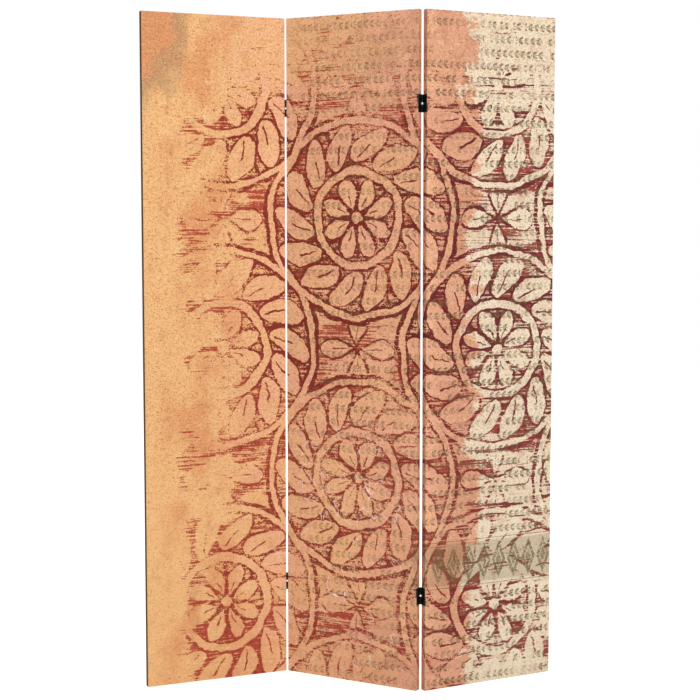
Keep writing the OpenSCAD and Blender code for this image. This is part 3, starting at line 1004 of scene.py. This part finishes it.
# %% [markdown]
# ## Wood inside the frame
# The stiles and rails are plain planed softwood that nobody sees once the cloth is on. Straight grain is
# a noise stretched along the piece, so the finish comes twice: with the grain up for the stiles and
# across for the rails. Darker late wood comes from a banded version of the same noise.
# %% Softwood and dowels
def timber(name, upright, pale, dark):
    """Planed wood with its grain upright, or else level."""
    finish = Finish(name, Specular_IOR_Level=0.3)
    x, y, z = parts(finish.node("ShaderNodeTexCoord", {}, {}, "Object"))
    side = x + y * 0.7
    along, thwart = (z, side) if upright else (side, z)
    bands = noise(along * 1.6, thwart * 55, 30, 3)
    late = smooth((bands * 9).math("FRACT"), 0.55, 0.95)
    fibres = noise(along * 14, thwart * 900, 31, 2)
    colour = paint(late * 0.6, rgb(*pale), rgb(*dark))
    colour = paint(smooth(fibres, 0.4, 0.75) * 0.25, colour, rgb(*dark))
    relief = bumped(fibres * 0.6 + late * 0.4, 0.0002, 0.5)
    return finish.surface(Base_Color=colour, Roughness=0.62 + fibres * 0.16, Normal=relief)


stile_wood = timber("stile_wood", True, (226, 197, 152), (186, 138, 88))
rail_wood = timber("rail_wood", False, (228, 200, 156), (188, 141, 92))
dowel_wood = timber("dowel_wood", False, (205, 170, 124), (164, 122, 80))


def dress(node, material):
    """Gives a CAD node its finish, and leaves its shape alone."""
    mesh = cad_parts[node].data
    mesh.materials.clear()
    mesh.materials.append(material)


for panel in panels:
    for side in ("left", "right"):
        dress(f"{panel.side}_panel_{side}_stile", stile_wood)
    for rail in RAILS:
        dress(f"{panel.side}_panel_{rail}", rail_wood)
    dress(f"{panel.side}_panel_dowels", dowel_wood)
print("wooden nodes dressed:", 7 * len(panels))

# %% [markdown]
# ## Metal
# Hinge leaves and links are pressed steel under baked black enamel. Enamel is nearly flat black with a
# soft gloss and a slight orange peel, and it wears through to grey steel in a few small chips. Pins and
# staples are bare drawn wire, so they get fine scratches along their length and no paint.
# %% Metal finishes
def enamel(name, chips):
    """Black enamel on steel, with small worn chips."""
    finish = Finish(name, Specular_IOR_Level=0.28)
    x, y, z = parts(finish.node("ShaderNodeTexCoord", {}, {}, "Object"))
    across = x + y * 0.83
    peel = noise(across * 900, z * 900, 40, 2)
    dust = noise(across * 120, z * 120, 41, 4)
    chip = smooth(noise(across * 420, z * 420, 42, 4, 0.7), 1 - chips, 1 - chips + 0.03)
    colour = paint(smooth(dust, 0.4, 0.8) * 0.4, rgb(6, 6, 7), rgb(20, 19, 18))
    colour = paint(chip, colour, rgb(105, 104, 102))
    return finish.surface(
        Base_Color=colour, Metallic=chip * 0.9, Roughness=0.34 + dust * 0.22,
        Normal=bumped(peel, 0.00005, 0.4),
    )


def wire(name, colour, dull):
    """Bare drawn steel wire with fine scratches."""
    finish = Finish(name, Metallic=1.0)
    x, y, z = parts(finish.node("ShaderNodeTexCoord", {}, {}, "Object"))
    across = x + y * 0.7
    drawn = noise(across * 2600, z * 90, 43, 3)
    stain = noise(across * 60, z * 60, 44, 4)
    shade = paint(smooth(stain, 0.45, 0.75) * 0.5, rgb(*colour), rgb(*dull))
    return finish.surface(
        Base_Color=shade, Roughness=0.3 + drawn * 0.2 + stain * 0.12, Normal=bumped(drawn, 0.00002, 0.4),
    )


hinge_enamel = enamel("hinge_enamel", 0.24)
screw_black = wire("screw_black", (52, 52, 55), (26, 25, 25))
pin_wire = wire("pin_wire", (118, 118, 120), (64, 58, 52))
staple_wire = wire("staple_wire", (196, 198, 200), (140, 132, 122))

metals = {"leaf": hinge_enamel, "link": hinge_enamel, "pins": pin_wire, "staples": staple_wire}
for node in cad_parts:
    kind = node.split("_")[-1]
    if kind in metals:
        dress(node, metals[kind])
print("metal finishes: enamel, screws, pins and staples")

# %% [markdown]
# ## Hinge screws
# The CAD screws are countersunk shapes with smooth shanks, which is all that a fit needs. A real one has
# a cross recess in its head and a thread, and both show when a panel is swung open. One screw is built
# along z and copied to each place. The thread is a shank whose radius rises and falls with height less
# turn, and the recess is a tapered cross let into the head.
# %% Screw shape
HEAD_HEIGHT = 0.0014
SHANK = 0.0014
TIP = 0.003
THREAD_RISE = 0.0012
THREAD_SHARE = 0.3
SIDES = 20
RINGS = 64
RECESS_ARM = 0.00165
RECESS_HALF = 0.00034
RECESS_DEEP = 0.00125


def screw_point(z, turn, length, head_radius):
    """A point of a screw's outside, at a height and a share of a turn."""
    phase = (z / THREAD_RISE - turn) % 1
    thread = max(0.0, 1 - abs(phase - 0.5) * 4) * THREAD_SHARE
    taper = min(1.0, (length - z) / TIP + 0.04)
    radius = (1 - THREAD_SHARE + thread) * SHANK * taper
    if z < HEAD_HEIGHT:
        radius = max(radius, head_radius - (head_radius - SHANK) * z / HEAD_HEIGHT)
    return radius * math.cos(math.tau * turn), radius * math.sin(math.tau * turn), z


def cross_outline(arm, half, z):
    """The twelve corners of a cross, all at one height."""
    corner = [(arm, -half), (arm, half), (half, half)]
    turns = ((1, 0), (0, 1), (-1, 0), (0, -1))
    return [(x * c - y * s, x * s + y * c, z) for c, s in turns for x, y in corner]


def closed_pairs(ring):
    """Each point of a closed ring with the one after it."""
    return list(zip(ring, ring[1:] + ring[:1]))


def bridge(shape, upper, lower):
    """Faces between two closed rings of equally many points."""
    for (a, b), (c, d) in zip(closed_pairs(upper), closed_pairs(lower)):
        shape.faces.new((a, b, d, c))


def screw_mesh(length, head_radius):
    """One countersunk screw along +z from the middle of its head."""
    outlines = [[screw_point(length * k / RINGS, i / SIDES, length, head_radius) for i in range(SIDES)]
                for k in range(RINGS + 1)]
    outlines.append(cross_outline(RECESS_ARM, RECESS_HALF, 0.0))
    outlines.append(cross_outline(RECESS_ARM * 0.55, RECESS_HALF * 0.8, RECESS_DEEP))
    shape = bmesh.new()
    *layers, mouth, deep = [[shape.verts.new(point) for point in outline] for outline in outlines]
    for upper, lower in pairwise(layers):
        bridge(shape, upper, lower)
    bridge(shape, mouth, deep)
    shape.faces.new(layers[-1])
    shape.faces.new(deep)
    rims = [shape.edges.get(pair) for pair in closed_pairs(layers[0]) + closed_pairs(mouth)]
    bmesh.ops.triangle_fill(shape, use_beauty=True, use_dissolve=False, edges=rims)
    bmesh.ops.recalc_face_normals(shape, faces=shape.faces)
    mesh = bpy.data.meshes.new("screw")
    shape.to_mesh(mesh)
    shape.free()
    return mesh


print("a screw has a cross", RECESS_ARM * 2000, "mm wide")

# %% Screws in their places
SCREW_GAP = 0.004
SCREW_SPIN = math.radians(37)


def hinge_screws(panel, node):
    """All the screws of one panel edge, as one piece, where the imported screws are."""
    own = panel.own(node)
    low, high = own.min(axis=0), own.max(axis=0)
    heights = np.unique(np.round(own[:, 2], 5))
    groups = np.split(heights, np.where(np.diff(heights) > SCREW_GAP)[0] + 1)
    inward = 1 if own[:, 0].mean() < panel.width / 2 else -1
    head = low[0] if inward > 0 else high[0]
    one = screw_mesh(high[0] - low[0], (high[1] - low[1]) / 2)
    joined = bmesh.new()
    for i, group in enumerate(groups):
        first = len(joined.verts)
        joined.from_mesh(one)
        joined.verts.ensure_lookup_table()
        spin = Matrix.Rotation(SCREW_SPIN * i, 4, "Z")
        lay = Matrix.Rotation(math.pi / 2 * inward, 4, "Y")
        place = Matrix.Translation((head, (low[1] + high[1]) / 2, (group[0] + group[-1]) / 2))
        bmesh.ops.transform(joined, matrix=place @ lay @ spin, verts=joined.verts[first:])
    mesh = bpy.data.meshes.new(f"{node}_made")
    joined.to_mesh(mesh)
    joined.free()
    mesh.materials.append(screw_black)
    piece = add_object(f"{node}_made", mesh)
    stand_in(piece, panel, node)
    print(piece.name, len(groups), "screws,", len(mesh.vertices), "points")


by_side = {panel.side: panel for panel in panels}
for side in ("left", "right"):
    hinge_screws(by_side["middle"], f"{side}_hinge_middle_screws")
    hinge_screws(by_side[side], f"{side}_hinge_side_screws")
